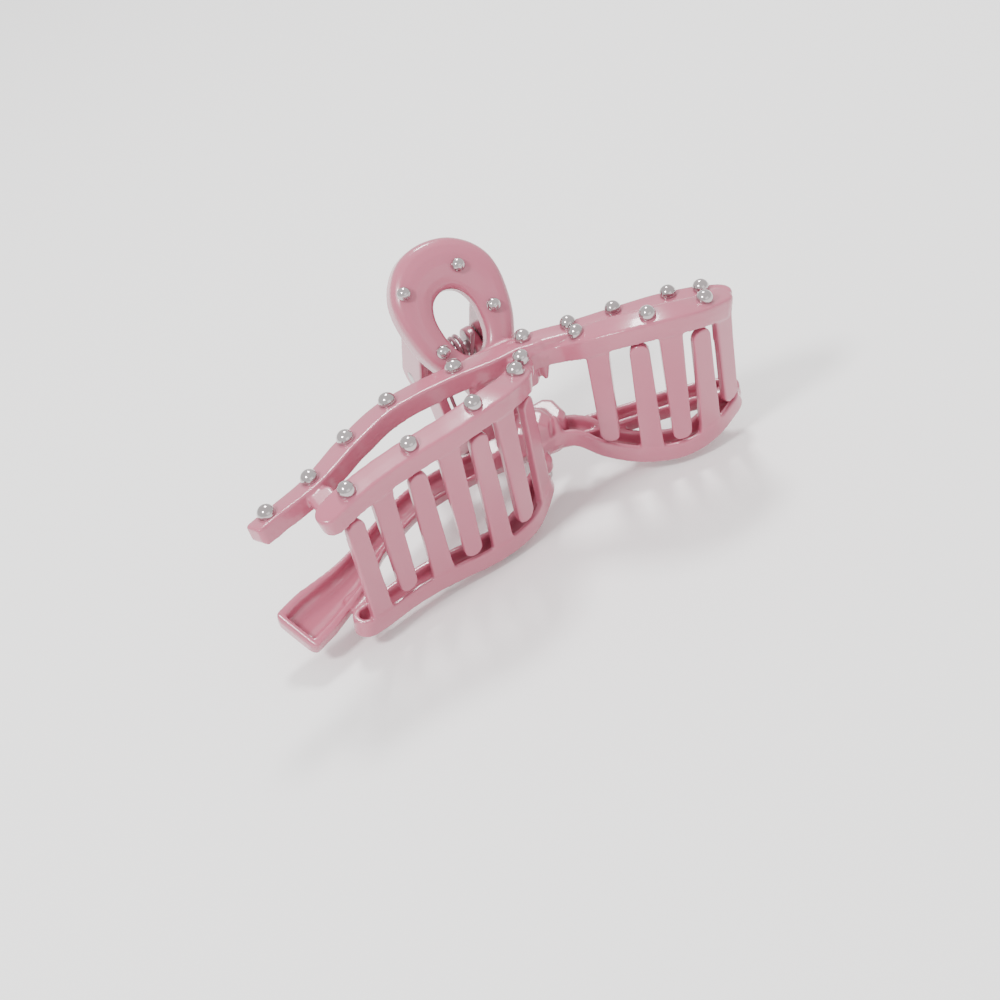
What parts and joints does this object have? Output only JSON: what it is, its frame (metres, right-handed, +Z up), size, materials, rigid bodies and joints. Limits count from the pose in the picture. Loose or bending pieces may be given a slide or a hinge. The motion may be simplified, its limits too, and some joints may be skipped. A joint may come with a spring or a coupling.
{
  "type": "bow claw hair clip",
  "caption": "Sprung two-jaw hair claw shaped like a bow, with interlocking tines, two finger rings and pearl studs along the edges.",
  "frame": {"origin": "middle of the underside of the bounding box, with the closed clip lying on a table", "axes": "+X along the bow and the hinge pin, +Y from the tines towards the finger rings, +Z up"},
  "size_m": [0.116, 0.061, 0.064],
  "materials": {
    "plastic": "glossy",
    "pearl": "pearlescent",
    "steel": "satin",
    "wire": "satin"
  },
  "bodies": {
    "lower": {"lower_jaw": "plastic", "hinge_pin": "steel", "torsion_spring": "wire", "lower_front_left_pearl_1": "pearl", "lower_front_left_pearl_2": "pearl", "lower_front_left_pearl_3": "pearl", "lower_front_left_pearl_4": "pearl", "lower_front_right_pearl_1": "pearl", "lower_front_right_pearl_2": "pearl", "lower_front_right_pearl_3": "pearl", "lower_front_right_pearl_4": "pearl", "lower_back_left_pearl_1": "pearl", "lower_back_left_pearl_2": "pearl", "lower_back_left_pearl_3": "pearl", "lower_back_left_pearl_4": "pearl", "lower_back_left_pearl_5": "pearl", "lower_back_right_pearl_1": "pearl", "lower_back_right_pearl_2": "pearl", "lower_back_right_pearl_3": "pearl", "lower_back_right_pearl_4": "pearl", "lower_back_right_pearl_5": "pearl", "lower_ring_pearl_1": "pearl", "lower_ring_pearl_2": "pearl", "lower_ring_pearl_3": "pearl", "lower_ring_pearl_4": "pearl", "lower_ring_pearl_5": "pearl"},
    "upper": {"upper_jaw": "plastic", "upper_front_left_pearl_1": "pearl", "upper_front_left_pearl_2": "pearl", "upper_front_left_pearl_3": "pearl", "upper_front_left_pearl_4": "pearl", "upper_front_right_pearl_1": "pearl", "upper_front_right_pearl_2": "pearl", "upper_front_right_pearl_3": "pearl", "upper_front_right_pearl_4": "pearl", "upper_back_left_pearl_1": "pearl", "upper_back_left_pearl_2": "pearl", "upper_back_left_pearl_3": "pearl", "upper_back_left_pearl_4": "pearl", "upper_back_left_pearl_5": "pearl", "upper_back_right_pearl_1": "pearl", "upper_back_right_pearl_2": "pearl", "upper_back_right_pearl_3": "pearl", "upper_back_right_pearl_4": "pearl", "upper_back_right_pearl_5": "pearl", "upper_ring_pearl_1": "pearl", "upper_ring_pearl_2": "pearl", "upper_ring_pearl_3": "pearl", "upper_ring_pearl_4": "pearl", "upper_ring_pearl_5": "pearl"}
  },
  "joints": [
    {"name": "jaw_hinge", "type": "hinge", "parent": "lower", "child": "upper", "pos_m": [0.00705, 0.01752, 0.03286], "axis": [-1, 0, 0], "range_deg": [0, 60], "stiffness_Nm_per_rad": 0.08, "springref_deg": -28.65, "deforming": ["torsion_spring"]}
  ]
}
